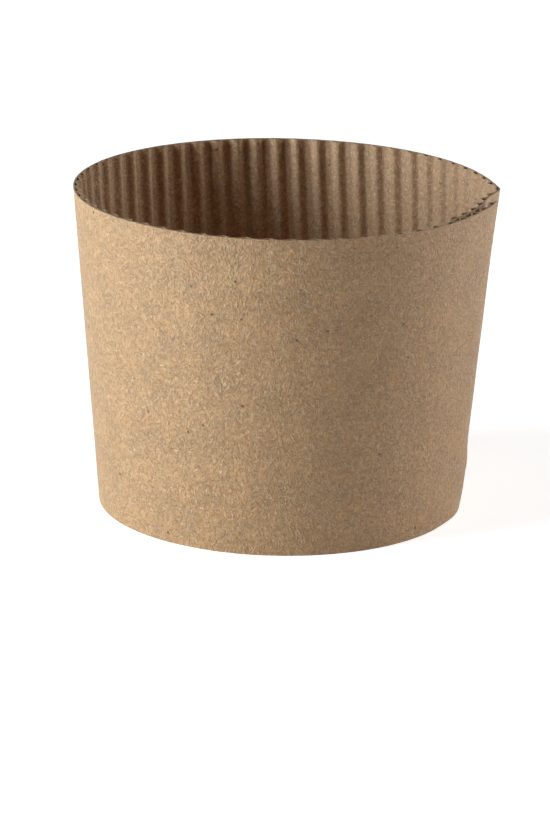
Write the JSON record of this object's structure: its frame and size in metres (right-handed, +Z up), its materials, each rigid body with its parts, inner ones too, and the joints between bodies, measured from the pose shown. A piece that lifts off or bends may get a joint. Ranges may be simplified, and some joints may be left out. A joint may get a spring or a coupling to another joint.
{
  "type": "coffee cup sleeve",
  "caption": "Tapered ring of single-face corrugated kraft board, fluted inside and glued along one lap, that slips round a hot paper cup.",
  "frame": {"origin": "middle of the lower, narrow rim, in the plane that it stands on", "axes": "+Z up along the ring's axis to the wide rim, -Y towards the plain front panel, +X towards the glued lap"},
  "size_m": [0.0858, 0.0848, 0.0655],
  "materials": {
    "kraft_board": "uncoated brown kraft, matte"
  },
  "bodies": {
    "root": {"sleeve": "kraft_board"}
  },
  "joints": []
}
